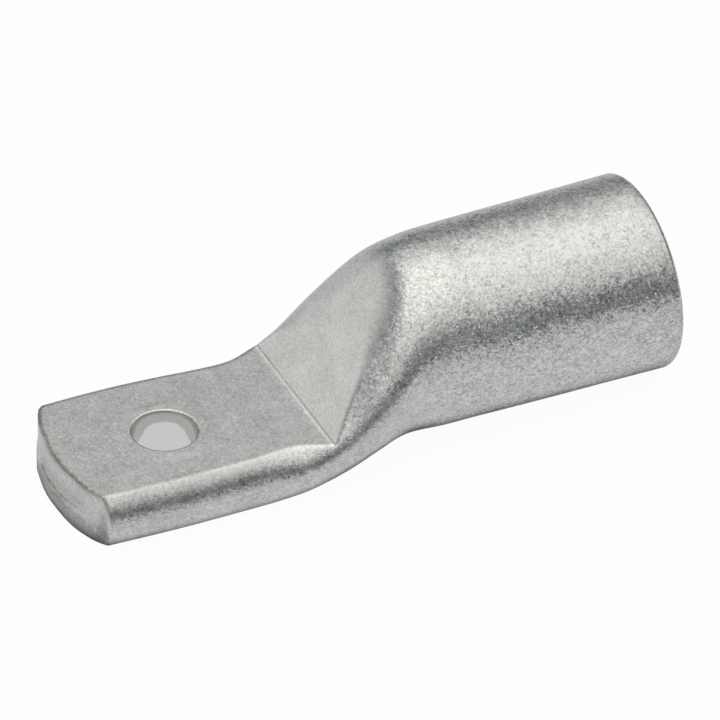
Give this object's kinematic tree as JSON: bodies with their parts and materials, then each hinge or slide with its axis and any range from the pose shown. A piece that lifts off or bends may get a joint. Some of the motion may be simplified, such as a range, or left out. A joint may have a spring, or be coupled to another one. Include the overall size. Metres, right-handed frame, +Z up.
{
  "type": "tubular cable lug",
  "caption": "Tin-plated copper tube lug: a flat palm with a bolt hole, a steep ramp and a round barrel that takes a stranded conductor.",
  "frame": {"origin": "centre of the bolt hole, on the seating face under the palm", "axes": "+X from the palm to the open mouth of the barrel, +Z up out of the bolt hole, away from the surface that the palm is bolted to"},
  "size_m": [0.0825, 0.0264, 0.026],
  "materials": {
    "tin_plating": "dull tin plating over copper, finely crystalline, with light handling marks"
  },
  "bodies": {
    "root": {"cable_lug": "tin_plating"}
  },
  "joints": []
}
